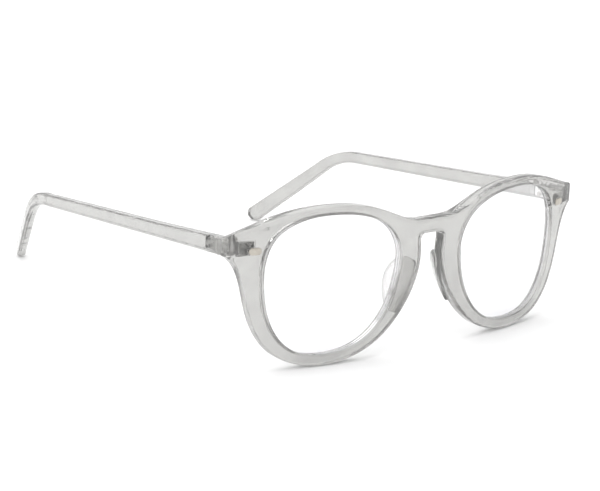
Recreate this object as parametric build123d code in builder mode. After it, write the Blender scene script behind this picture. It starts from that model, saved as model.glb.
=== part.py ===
"""Eyeglasses with a clear plastic front, five-barrel hinges and two folding temples.

Millimetres. +X is the wearer's left, +Y runs from the front towards the ears and +Z is up.
The glasses stand open on a table at z = 0, on both rims and both temple tips, and the origin
is on the table under the middle of their bounding box. The left half is modelled and the
right half is its mirror image.
"""

import os
from math import cos, radians, sin

from build123d import *

# ---------------------------------------------------------------- driving dimensions
overall_depth = 154.0  # front of the bridge to the rear of the temple tips
half_width = 70.2  # middle of the bridge to the outer side of an end piece
lens_height = 25.4  # table to the middle of the lenses
front_radius = 232.0  # face-form curve of the front, in plan
rim_thickness = 4.2
front_round = 1.3  # polished front edges of the rims
rear_round = 0.8
eye_round = 0.6  # edges of the eye openings

# lens and the groove that holds it
lens_setback = 1.1  # face of the rim to the face of the lens
lens_thickness = 1.9
bevel_width = 0.9
bevel_depth = 0.7  # how far the lens edge reaches into the rim
lens_play = 0.05

# end piece; heights are above the middle of the lenses
endpiece_top = 16.5
endpiece_bottom = 10.3
endpiece_fall = (0.315, 0.235, 1)  # normal of the sloping top of the end piece
joint_y = 16.6  # front of the bridge to the plane where temple and end piece meet
joint_top = 15.2
joint_bottom = 9.9
temple_gap = 0.1  # between the butt end of a temple and its end piece

# temple
temple_outer_x = 70.1
temple_inner_x = 66.0
tip_y = 151.4
tip_z = -22.8
tip_radius = 2.6
temple_round = 1.0

# hinge
hinge_x = 64.4
hinge_z = 12.3
barrel_radius = 1.2
barrel_count = 5
barrel_height = 0.72
barrel_play = 0.05  # between neighbouring barrels
leaf_thickness = 0.9
screw_radius = 0.55
screw_play = 0.04
screw_head_rim = 0.4
screw_head_height = 0.45
screw_slot = 0.25  # width and depth of the driver slot
rivet_radius = 0.5
rivet_head = 0.3  # rim and height of the heads
front_rivet_offset = 2.2  # hinge axis to the front rivets
front_rivet_spread = 1.05
front_rivet_reach = 2.0  # into the plastic in front of the plate
temple_rivet_offset = 5.4
temple_rivet_spread = 1.15
temple_rivet_reach = 3.2
plate_length = 4.0  # hinge axis to the inner end of the front plate
leaf_start = 0.4  # hinge axis to either end of the leaf in the temple
leaf_end = 7.4
leaf_corner = 0.4
arm_width = 2.2  # of the arms between the temple leaf and its barrels
pocket_floor_y = 12.15  # floor of the pocket milled into the back of the front
leaf_bed = 0.05  # between either leaf and the floor of its pocket
pocket_margin = 0.3  # around the front plate

# nose pad
pad_thickness = 2.0  # in front of the plane through its outer edge
pad_inset = 0.6  # behind that plane
pad_front_round = 1.0
pad_rear_round = 0.8
pad_dome = 34.0  # radius of the domed face that rests on the nose
pad_lean = 22.7  # degrees from upright, seen from the front
pad_splay = 31.5  # degrees from straight back, seen from above

# plaque on each end piece
plaque_thickness = 0.6
plaque_length = 4.0
plaque_height = 2.2
plaque_x = 62.2
plaque_z = 11.8

front_y = -overall_depth / 2
front_plane = Plane(origin=(0, front_y, lens_height), x_dir=(1, 0, 0), z_dir=(0, -1, 0))
plan_plane = Plane(origin=(0, front_y, 0), x_dir=(1, 0, 0), z_dir=(0, 0, 1))
side_plane = Plane(origin=(0, front_y, lens_height), x_dir=(0, 1, 0), z_dir=(1, 0, 0))
hinge_height = barrel_count * (barrel_height + barrel_play) - barrel_play
hinge_bottom = hinge_z - hinge_height / 2
hinge_top = hinge_z + hinge_height / 2
through = 80.0  # longer than any cut needs


def face_y(x, depth=0.0):
    """Distance behind the bridge of the curved face, or of a layer under it."""
    radius = front_radius - depth
    return front_radius - (radius**2 - x**2) ** 0.5


def curved_layer(depth, start=0.0, end=72.0):
    """Arc of the front's curve in plan, at a depth under the face."""
    middle = (start + end) / 2
    return ThreePointArc(*[(x, face_y(x, depth)) for x in (start, middle, end)])


def curved_shell(front_depth, rear_depth):
    """Curved plate as tall as the front, between two depths under the face."""
    with BuildPart() as shell:
        with BuildSketch(plan_plane):
            with BuildLine():
                front_arc = curved_layer(front_depth)
                rear_arc = curved_layer(rear_depth)
                Line(front_arc @ 0, rear_arc @ 0)
                Line(front_arc @ 1, rear_arc @ 1)
            make_face()
        extrude(amount=through)
    return shell.part


# ---------------------------------------------------------------- front: rims, bridge, end pieces
top_points = [(0, 16.2), (4, 16.2), (8, 16.5), (14, 18.5), (24, 22.0), (37, 23.5), (50, 22.4), (61, 19.4)]
low_points = [
    (66.9, 6.8),
    (64.9, 1.8),
    (62.0, -9.4),
    (54.8, -20.4),
    (39.0, -25.4),
    (20.5, -20.8),
    (9.3, -9.8),
    (5.3, -1.8),
    (4.1, 5.2),
]
eye_top_points = [
    (12.3, 4.5),
    (12.7, 8.2),
    (15.8, 13.8),
    (24.0, 18.7),
    (36.0, 20.6),
    (47.8, 19.4),
    (55.6, 14.6),
    (58.2, 8.6),
    (58.7, 4.5),
]
eye_low_points = [
    (58.7, 4.5),
    (58.4, -1.5),
    (56.3, -10.5),
    (49.4, -19.2),
    (37.5, -22.0),
    (25.0, -19.0),
    (15.9, -9.4),
    (12.9, -0.5),
    (12.3, 4.5),
]


def spread_points(points, spread):
    """Points moved outwards from a half of the eye outline, which runs clockwise."""
    curve = Spline(*points, mode=Mode.PRIVATE)
    moved = []
    for k in range(17):
        tangent = curve % (k / 16)
        if k in (0, 16):
            tangent = Vector(0, 1 if tangent.Y > 0 else -1)
        moved.append(curve @ (k / 16) + Vector(-tangent.Y, tangent.X) * spread)
    return moved


def eye_sketch(spread):
    """Outline of the eye opening, made larger by the spread."""
    with BuildSketch(front_plane) as sketch:
        with BuildLine():
            upper = Spline(*spread_points(eye_top_points, spread))
            Spline(upper @ 1, *spread_points(eye_low_points, spread)[1:-1], upper @ 0)
        make_face()
    return sketch.sketch


def eye_plug(spread, front_depth, rear_depth):
    """Curved disc that fills the eye opening between two depths under the face."""
    with BuildPart() as plug:
        extrude(eye_sketch(spread), amount=through / 2, dir=(0, 1, 0))
        add(curved_shell(front_depth, rear_depth), mode=Mode.INTERSECT)
    return plug.part


def rear_plane(y):
    """Upright plane facing the front, at a distance behind the bridge."""
    return Plane(origin=(0, front_y + y, lens_height), x_dir=(1, 0, 0), z_dir=(0, -1, 0))


def hinge_plane(z):
    """Level plane centred on the hinge axis, at a height above the middle of the lenses."""
    return Plane(origin=(hinge_x, front_y + joint_y, lens_height + z), x_dir=(1, 0, 0), z_dir=(0, 0, 1))


# half of the front
with BuildPart() as half_front:
    with BuildSketch(front_plane):
        with BuildLine():
            top_edge = Spline(*top_points, (half_width, endpiece_top))
            side_edge = Line(top_edge @ 1, (half_width, endpiece_bottom))
            low_edge = Spline(side_edge @ 1, *low_points)
            arch_side = Line(low_edge @ 1, (4.4, 9.6))
            arch_corner = RadiusArc(arch_side @ 1, (2.7, 11.3), -1.7)
            arch_top = Line(arch_corner @ 1, (0, 11.3))
            Line(arch_top @ 1, top_edge @ 0)
        make_face()
    extrude(amount=-through / 2)
    add(curved_shell(0, rim_thickness), mode=Mode.INTERSECT)
    # the top of the end piece falls away towards the joint
    corner = (half_width, front_y + face_y(half_width), lens_height + endpiece_top)
    split(bisect_by=Plane(origin=corner, z_dir=endpiece_fall), keep=Keep.BOTTOM)
    for radius, edge_radius in ((front_radius, front_round), (front_radius - rim_thickness, rear_round)):
        curved = half_front.faces().filter_by(GeomType.CYLINDER)
        face = [item for item in curved if abs(item.radius - radius) < 0.01][0]
        fillet([edge for edge in face.edges() if edge.center().X > 0.01], edge_radius)

# side return of the end piece, up to the joint
with BuildPart() as endpiece_return:
    with BuildSketch(side_plane.offset(temple_inner_x)):
        with BuildLine():
            Polyline((11.6, 16.0), (joint_y, joint_top), (joint_y, joint_bottom), (11.6, 10.6), close=True)
        make_face()
    extrude(amount=half_width - temple_inner_x)
    sides = [edge for edge in endpiece_return.edges() if abs((edge % 0.5).Y) > 0.9]
    fillet(sides, rear_round)

# plaque let into the face of the end piece
plaque_lean = Vector(plaque_x, face_y(plaque_x) - front_radius).normalized()
plaque_plane = Plane(
    origin=(plaque_x, front_y + face_y(plaque_x), lens_height + plaque_z),
    x_dir=(-plaque_lean.Y, plaque_lean.X, 0),
    z_dir=(plaque_lean.X, plaque_lean.Y, 0),
)
with BuildPart() as end_plaque_left:
    with BuildSketch(plaque_plane.offset(-plaque_thickness / 2)):
        SlotOverall(plaque_length, plaque_height)
    extrude(amount=plaque_thickness)
    fillet(end_plaque_left.faces().sort_by(Axis(plaque_plane.origin, plaque_plane.z_dir))[-1].edges(), 0.2)

# front half of the hinge: a plate with three barrels
plate_low_x = hinge_x - plate_length
plate_high_x = temple_inner_x - pocket_margin
plate_y = pocket_floor_y + leaf_bed
front_rivet_x = hinge_x - front_rivet_offset
front_rivet_spots = Locations(
    (front_rivet_x, hinge_z - front_rivet_spread),
    (front_rivet_x, hinge_z + front_rivet_spread),
)
with BuildPart() as front_hinge_left:
    with BuildSketch(rear_plane(plate_y)):
        with Locations(((plate_low_x + plate_high_x) / 2, hinge_z)):
            RectangleRounded(plate_high_x - plate_low_x, hinge_height, leaf_corner)
    extrude(amount=-leaf_thickness)
    for level in range(0, barrel_count, 2):
        with BuildSketch(hinge_plane(hinge_bottom + level * (barrel_height + barrel_play))):
            Circle(barrel_radius)
            arm = joint_y - plate_y - leaf_thickness / 2
            with Locations((0, -arm / 2)):
                Rectangle(2 * barrel_radius, arm)
        extrude(amount=barrel_height)
    with BuildSketch(hinge_plane(hinge_bottom)):
        Circle(screw_radius + screw_play)
    extrude(amount=hinge_height, mode=Mode.SUBTRACT)
    with BuildSketch(rear_plane(plate_y)):
        with front_rivet_spots:
            Circle(rivet_radius)
    extrude(amount=-leaf_thickness, mode=Mode.SUBTRACT)

with BuildPart() as front_rivets_left:
    with BuildSketch(rear_plane(plate_y - front_rivet_reach)):
        with front_rivet_spots:
            Circle(rivet_radius)
    extrude(amount=-(leaf_thickness + front_rivet_reach))
    with BuildSketch(rear_plane(plate_y + leaf_thickness)):
        with front_rivet_spots:
            Circle(rivet_radius + rivet_head)
    extrude(amount=-rivet_head)

# screw that is the hinge pin
with BuildPart() as hinge_screw_left:
    with BuildSketch(hinge_plane(hinge_bottom)):
        Circle(screw_radius)
    extrude(amount=hinge_height)
    with BuildSketch(hinge_plane(hinge_top)):
        Circle(screw_radius + screw_head_rim)
    extrude(amount=screw_head_height)
    fillet(hinge_screw_left.edges().sort_by(Axis.Z)[-1], 0.15)
    with BuildSketch(hinge_plane(hinge_top + screw_head_height)):
        Rectangle(3 * screw_radius, screw_slot)
    extrude(amount=-screw_slot, mode=Mode.SUBTRACT)

# pocket in the back of the front, window for the hinge
with BuildPart() as front_frame:
    add(half_front.part)
    add(endpiece_return.part)
    add(eye_plug(0, 0, 20), mode=Mode.SUBTRACT)
    curved = [face for face in front_frame.faces().filter_by(GeomType.CYLINDER) if face.radius > 200]
    fillet([edge for face in curved for wire in face.inner_wires() for edge in wire.edges()], eye_round)
    groove_front = lens_setback + (lens_thickness - bevel_width) / 2 - lens_play
    add(eye_plug(bevel_depth, groove_front, groove_front + bevel_width + 2 * lens_play), mode=Mode.SUBTRACT)
    with BuildSketch(rear_plane(pocket_floor_y)):
        with Locations(((plate_low_x - pocket_margin + temple_inner_x) / 2, hinge_z)):
            Rectangle(temple_inner_x - plate_low_x + pocket_margin, hinge_height + 2 * pocket_margin)
    extrude(amount=-10, mode=Mode.SUBTRACT)
    add(front_rivets_left.part, mode=Mode.SUBTRACT)
    add(end_plaque_left.part, mode=Mode.SUBTRACT)
    mirror(about=Plane.YZ)

# lenses
with BuildPart() as lens_left:
    add(eye_plug(-lens_play, lens_setback, lens_setback + lens_thickness))
    ridge_front = lens_setback + (lens_thickness - bevel_width) / 2
    add(eye_plug(bevel_depth - lens_play, ridge_front, ridge_front + bevel_width))

# nose pad: a domed petal behind the nasal side of the rim
lean = radians(pad_lean)
splay = radians(pad_splay)
pad_plane = Plane(
    origin=(4.7, front_y + 2.0, lens_height + 1.0),
    x_dir=(-sin(lean), 0, cos(lean)),
    z_dir=(-cos(splay) * cos(lean), sin(splay) * cos(lean), -cos(splay) * sin(lean)),
)
petal_points = [
    (2.6, 0.3),
    (2.7, 3.2),
    (1.4, 6.4),
    (-1.9, 8.8),
    (-5.6, 9.4),
    (-9.5, 8.6),
    (-13.2, 6.8),
    (-16.2, 4.3),
    (-17.8, 0.3),
]
with BuildPart() as nose_pad_left:
    with BuildSketch(pad_plane.offset(-pad_inset)):
        with BuildLine():
            petal = Spline(*petal_points)
            Line(petal @ 1, petal @ 0)
        make_face()
    extrude(amount=pad_thickness + pad_inset)
    with Locations(pad_plane.offset(pad_thickness - pad_dome) * Location((-7.0, 5.0, 0))):
        Sphere(pad_dome, rotation=(90, 0, 0), mode=Mode.INTERSECT)
    for edge_radius in (pad_front_round, pad_rear_round):
        rim = [edge for edge in nose_pad_left.edges() if pad_plane.to_local_coords(edge.center()).Y > 3]
        rim.sort(key=lambda edge: pad_plane.to_local_coords(edge.center()).Z)
        fillet(rim[-1] if edge_radius == pad_front_round else rim[0], edge_radius)
    add(curved_shell(-5, rim_thickness), mode=Mode.SUBTRACT)

# temple
with BuildPart() as temple_left:
    with BuildSketch(side_plane.offset(40)):
        with BuildLine():
            along = Vector(0.7535, -0.6575)
            across = Vector(0.6575, 0.7535)
            tip = Vector(tip_y, tip_z)
            butt_y = joint_y + temple_gap
            top_corners = [(butt_y, joint_top), (50, 12.0), (121.9, 6.0), tip + across * tip_radius]
            top_line = FilletPolyline(*top_corners, radius=26)
            tip_arc = ThreePointArc(top_line @ 1, tip + along * tip_radius, tip - across * tip_radius)
            low_line = FilletPolyline(tip_arc @ 1, (120.3, 2.2), (butt_y, joint_bottom), radius=22)
            Line(low_line @ 1, top_line @ 0)
        make_face()
    extrude(amount=40)
    with BuildSketch(plan_plane):
        with BuildLine():
            outer = FilletPolyline((temple_outer_x, butt_y), (66.9, 121.5), (50.4, 157.0), radius=60)
            end = Line(outer @ 1, (47.3, 156.3))
            inner = FilletPolyline(end @ 1, (63.7, 120.8), (temple_inner_x, butt_y), radius=60)
            Line(inner @ 1, outer @ 0)
        make_face()
    extrude(amount=through, mode=Mode.INTERSECT)
    sides = [edge for edge in temple_left.edges() if edge.length > 0.2]
    fillet([edge for edge in sides if max(abs((edge % 0.5).X), abs((edge % 0.5).Z)) < 0.99], temple_round)

# temple half of the hinge: a plate let into the inner face, with two barrels
leaf_low_y = joint_y + leaf_start
leaf_high_y = joint_y + leaf_end
leaf_plane = Plane(origin=(temple_inner_x, front_y, lens_height), x_dir=(0, 1, 0), z_dir=(1, 0, 0))
temple_rivet_y = joint_y + temple_rivet_offset
temple_rivet_spots = Locations(
    (temple_rivet_y, hinge_z - temple_rivet_spread),
    (temple_rivet_y, hinge_z + temple_rivet_spread),
)
with BuildPart() as temple_hinge_left:
    with BuildSketch(leaf_plane):
        with Locations(((leaf_low_y + leaf_high_y) / 2, hinge_z)):
            RectangleRounded(leaf_high_y - leaf_low_y, hinge_height, leaf_corner)
    extrude(amount=leaf_thickness)
    for level in range(1, barrel_count, 2):
        with BuildSketch(hinge_plane(hinge_bottom + level * (barrel_height + barrel_play))):
            Circle(barrel_radius)
            with Locations(((temple_inner_x - hinge_x) / 2 + 0.1, arm_width / 2)):
                Rectangle(temple_inner_x - hinge_x + 0.2, arm_width)
        extrude(amount=barrel_height)
    with BuildSketch(hinge_plane(hinge_bottom)):
        Circle(screw_radius + screw_play)
    extrude(amount=hinge_height, mode=Mode.SUBTRACT)
    with BuildSketch(leaf_plane):
        with temple_rivet_spots:
            Circle(rivet_radius)
    extrude(amount=leaf_thickness, mode=Mode.SUBTRACT)

with BuildPart() as temple_rivets_left:
    with BuildSketch(leaf_plane):
        with temple_rivet_spots:
            Circle(rivet_radius)
    extrude(amount=temple_rivet_reach)
    with BuildSketch(leaf_plane):
        with temple_rivet_spots:
            Circle(rivet_radius + rivet_head)
    extrude(amount=-rivet_head)

with BuildPart() as temple_arm_left:
    add(temple_left.part)
    with BuildSketch(leaf_plane.offset(-1)):
        with Locations(((butt_y - 1 + leaf_high_y) / 2, hinge_z)):
            Rectangle(leaf_high_y - butt_y + 1, hinge_height)
    extrude(amount=leaf_thickness + leaf_bed + 1, mode=Mode.SUBTRACT)
    add(temple_rivets_left.part, mode=Mode.SUBTRACT)

# ---------------------------------------------------------------- mirrored halves and export
left_parts = {
    "lens": lens_left.part,
    "nose_pad": nose_pad_left.part,
    "end_plaque": end_plaque_left.part,
    "front_hinge": front_hinge_left.part,
    "front_rivets": front_rivets_left.part,
    "hinge_screw": hinge_screw_left.part,
    "temple": temple_arm_left.part,
    "temple_hinge": temple_hinge_left.part,
    "temple_rivets": temple_rivets_left.part,
}
os.makedirs("parts", exist_ok=True)
front_frame.part.label = "front_frame"
export_step(front_frame.part, "parts/front_frame.step")
for name, solid in left_parts.items():
    for side, shape in (("left", solid), ("right", mirror(solid, about=Plane.YZ))):
        shape.label = f"{name}_{side}"
        export_step(shape, f"parts/{name}_{side}.step")
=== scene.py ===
"""Looks of the clear plastic eyeglasses, in Blender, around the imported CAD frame. Metres."""

from math import cos, radians, sin

import bpy
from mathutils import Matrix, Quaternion, Vector

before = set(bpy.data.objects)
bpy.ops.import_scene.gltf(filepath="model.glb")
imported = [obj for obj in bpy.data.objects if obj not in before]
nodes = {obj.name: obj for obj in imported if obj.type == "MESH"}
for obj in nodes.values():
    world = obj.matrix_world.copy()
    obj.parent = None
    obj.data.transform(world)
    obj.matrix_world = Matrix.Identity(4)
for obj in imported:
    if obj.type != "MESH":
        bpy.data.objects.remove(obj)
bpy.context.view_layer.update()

# camera: direction round the object, aim and lens
VIEW_AZIMUTH = -39.8
VIEW_ELEVATION = 15.0
VIEW_ROLL = 2.75
VIEW_DISTANCE = 0.6614
AIM = Vector((-0.0302, -0.0501, 0.0304))
SENSOR_WIDTH = 36.0
LENS_MM = 130.34

# colours, as linear light
PLASTIC_CLEAR = (0.61, 0.607, 0.594)
PLASTIC_MILKY = (0.50, 0.497, 0.485)
LENS_TINTED = (0.955, 0.95, 0.97)
LENS_CLEAR = (0.97, 0.97, 0.98)
PAD_CLEAR = (0.84, 0.838, 0.825)
PAD_MILKY = (0.76, 0.757, 0.745)
STEEL_LIGHT = (0.98, 0.98, 0.97)
STEEL_DARK = (0.88, 0.88, 0.87)
RIVET_LIGHT = (0.78, 0.77, 0.75)
RIVET_DARK = (0.50, 0.49, 0.47)
PEWTER_LIGHT = (0.62, 0.59, 0.53)
PEWTER_DARK = (0.34, 0.31, 0.27)
FLOOR_DARK = (0.93, 0.93, 0.93)
FLOOR_LIGHT = (0.95, 0.95, 0.95)
WORLD_COLOUR = (1, 1, 1, 1)

ACETATE_IOR = 1.49
LENS_IOR = 1.50

# studio: floor, lamps and the brightness of the world before and behind the glasses
FLOOR_SIZE = 6.0
FLOOR_Z = -0.0002
LAMP_TARGET = Vector((0, 0, 0.02))
WORLD_FRONT = 0.9
WORLD_REAR = 1.05
WORLD_FADE_START = -0.55
WORLD_FADE_END = 0.25

# sockets of a colour mix node, which share their names with its other kinds
MIX_COLOUR_A = 6
MIX_COLOUR_B = 7
MIX_COLOUR_RESULT = 2
NOISE_LOW = 0.3
NOISE_HIGH = 0.7


class Shader:
    """A node material with short calls for adding and linking nodes."""

    def __init__(self, name):
        self.material = bpy.data.materials.new(name)
        self.material.use_nodes = True
        self.tree = self.material.node_tree
        self.bsdf = self.tree.nodes["Principled BSDF"]
        self.coordinates = self.add("ShaderNodeTexCoord").outputs["Object"]

    def add(self, kind, **inputs):
        node = self.tree.nodes.new(kind)
        for key, value in inputs.items():
            node.inputs[key.replace("_", " ")].default_value = value
        return node

    def link(self, source, target):
        self.tree.links.new(source, target)

    def noise(self, scale, detail=3.0, stretch=(1, 1, 1)):
        mapping = self.add("ShaderNodeMapping", Scale=stretch)
        texture = self.add("ShaderNodeTexNoise", Scale=scale, Detail=detail)
        self.link(self.coordinates, mapping.inputs["Vector"])
        self.link(mapping.outputs["Vector"], texture.inputs["Vector"])
        return texture.outputs["Fac"]

    def colour(self, factor, dark, light):
        """Base colour that drifts between two tones."""
        mix = self.add("ShaderNodeMix")
        mix.data_type = "RGBA"
        mix.inputs[MIX_COLOUR_A].default_value = (*dark, 1)
        mix.inputs[MIX_COLOUR_B].default_value = (*light, 1)
        self.link(factor, mix.inputs["Factor"])
        self.link(mix.outputs[MIX_COLOUR_RESULT], self.bsdf.inputs["Base Color"])

    def spread(self, factor, socket, low, high):
        """A value that drifts between two limits; noise rarely leaves its middle half."""
        node = self.add("ShaderNodeMapRange")
        node.inputs["From Min"].default_value = NOISE_LOW
        node.inputs["From Max"].default_value = NOISE_HIGH
        node.inputs["To Min"].default_value = low
        node.inputs["To Max"].default_value = high
        self.link(factor, node.inputs["Value"])
        self.link(node.outputs["Result"], self.bsdf.inputs[socket])

    def roughness(self, factor, low, high):
        self.spread(factor, "Roughness", low, high)

    def bump(self, height, strength, distance):
        node = self.add("ShaderNodeBump", Strength=strength, Distance=distance)
        self.link(height, node.inputs["Height"])
        self.link(node.outputs["Normal"], self.bsdf.inputs["Normal"])

    def set(self, **values):
        for key, value in values.items():
            self.bsdf.inputs[key.replace("_", " ")].default_value = value


def plastic_material():
    """Clear polished acetate: faint cloudiness, uneven polish and a wavy surface."""
    shader = Shader("crystal_plastic")
    shader.set(IOR=ACETATE_IOR, Coat_Weight=0.15, Coat_Roughness=0.03)
    shader.spread(shader.noise(scale=140.0, detail=5.0), "Transmission Weight", low=0.82, high=0.95)
    shader.colour(shader.noise(scale=90.0), PLASTIC_MILKY, PLASTIC_CLEAR)
    shader.roughness(shader.noise(scale=1400.0, detail=4.0), low=0.02, high=0.10)
    shader.bump(shader.noise(scale=220.0, detail=2.0), strength=0.5, distance=0.0004)
    return shader.material


def lens_material():
    """Clear coated lens with a trace of colour and fine dust."""
    shader = Shader("lens")
    shader.set(Transmission_Weight=1.0, IOR=LENS_IOR)
    shader.colour(shader.noise(scale=30.0), LENS_TINTED, LENS_CLEAR)
    shader.roughness(shader.noise(scale=2500.0, detail=5.0), low=0.0, high=0.02)
    return shader.material


def pad_material():
    """Moulded clear plastic with a duller surface than the front."""
    shader = Shader("nose_pad")
    shader.set(Transmission_Weight=0.9, IOR=ACETATE_IOR)
    shader.colour(shader.noise(scale=200.0), PAD_MILKY, PAD_CLEAR)
    shader.roughness(shader.noise(scale=1800.0), low=0.08, high=0.18)
    shader.bump(shader.noise(scale=500.0, detail=3.0), strength=0.2, distance=0.0001)
    return shader.material


def metal_material(name, dark, light, grain):
    """Turned or pressed metal with a grain, and with darker and duller patches."""
    shader = Shader(name)
    shader.set(Metallic=1.0)
    shader.colour(shader.noise(scale=900.0), dark, light)
    shader.roughness(shader.noise(scale=2500.0, detail=4.0), low=0.2, high=0.45)
    height = shader.noise(scale=1500.0, detail=3.0, stretch=grain)
    shader.bump(height, strength=0.3, distance=0.00004)
    return shader.material


def floor_material():
    """Plain pale floor with a very faint tone."""
    shader = Shader("floor")
    shader.set(Roughness=0.9, Specular_IOR_Level=0.0)
    shader.colour(shader.noise(scale=3.0), FLOOR_DARK, FLOOR_LIGHT)
    return shader.material


def dress(name, material):
    """Puts a material on a CAD node in place of its plain one."""
    node = nodes[name]
    node.data.materials.clear()
    node.data.materials.append(material)


plastic = plastic_material()
lens = lens_material()
pad = pad_material()
steel = metal_material("hinge_steel", STEEL_DARK, STEEL_LIGHT, grain=(1, 1, 8))
fastener = metal_material("fastener_steel", RIVET_DARK, RIVET_LIGHT, grain=(1, 1, 1))
pewter = metal_material("plaque_pewter", PEWTER_DARK, PEWTER_LIGHT, grain=(8, 1, 1))

dress("front_frame", plastic)
for side in ("left", "right"):
    dress(f"temple_{side}", plastic)
    dress(f"lens_{side}", lens)
    dress(f"nose_pad_{side}", pad)
    dress(f"end_plaque_{side}", pewter)
    dress(f"front_hinge_{side}", steel)
    dress(f"temple_hinge_{side}", steel)
    dress(f"hinge_screw_{side}", fastener)
    dress(f"front_rivets_{side}", fastener)
    dress(f"temple_rivets_{side}", fastener)


def make_floor():
    """Plane just under the glasses, big enough to fill the picture."""
    bpy.ops.mesh.primitive_plane_add(size=FLOOR_SIZE, location=(0, 0, FLOOR_Z))
    floor = bpy.context.object
    floor.name = "floor"
    floor.data.materials.append(floor_material())


def make_light(name, location, size, power):
    """Soft square lamp that faces the object."""
    data = bpy.data.lights.new(name, "AREA")
    data.size = size
    data.energy = power
    lamp = bpy.data.objects.new(name, data)
    lamp.location = location
    lamp.rotation_mode = "QUATERNION"
    lamp.rotation_quaternion = (LAMP_TARGET - Vector(location)).to_track_quat("-Z", "Y")
    bpy.context.scene.collection.objects.link(lamp)


def make_world():
    """White studio, a little brighter behind the glasses than in front of them."""
    world = bpy.data.worlds.new("studio")
    world.use_nodes = True
    tree = world.node_tree
    direction = tree.nodes.new("ShaderNodeTexCoord")
    split = tree.nodes.new("ShaderNodeSeparateXYZ")
    fade = tree.nodes.new("ShaderNodeMapRange")
    fade.inputs["From Min"].default_value = WORLD_FADE_START
    fade.inputs["From Max"].default_value = WORLD_FADE_END
    fade.inputs["To Min"].default_value = WORLD_FRONT
    fade.inputs["To Max"].default_value = WORLD_REAR
    tree.links.new(direction.outputs["Generated"], split.inputs["Vector"])
    tree.links.new(split.outputs["Y"], fade.inputs["Value"])
    background = tree.nodes["Background"]
    background.inputs["Color"].default_value = WORLD_COLOUR
    tree.links.new(fade.outputs["Result"], background.inputs["Strength"])
    bpy.context.scene.world = world


def make_camera():
    """Camera at the set direction and distance from the point it aims at."""
    azimuth = radians(VIEW_AZIMUTH)
    elevation = radians(VIEW_ELEVATION)
    back = Vector((sin(azimuth) * cos(elevation), -cos(azimuth) * cos(elevation), sin(elevation)))
    data = bpy.data.cameras.new("camera")
    data.sensor_width = SENSOR_WIDTH
    data.lens = LENS_MM
    data.clip_start = 0.01
    data.clip_end = 50.0
    camera = bpy.data.objects.new("camera", data)
    camera.location = AIM + back * VIEW_DISTANCE
    camera.rotation_mode = "QUATERNION"
    level = (-back).to_track_quat("-Z", "Y")
    camera.rotation_quaternion = level @ Quaternion((0, 0, 1), radians(VIEW_ROLL))
    bpy.context.scene.collection.objects.link(camera)
    bpy.context.scene.camera = camera


make_floor()
make_world()
make_light("overhead", location=(0.0, 0.25, 1.3), size=1.6, power=8.0)
make_light("side", location=(-1.0, -0.35, 0.55), size=0.35, power=3.0)
make_camera()
bpy.context.scene.view_settings.view_transform = "Standard"
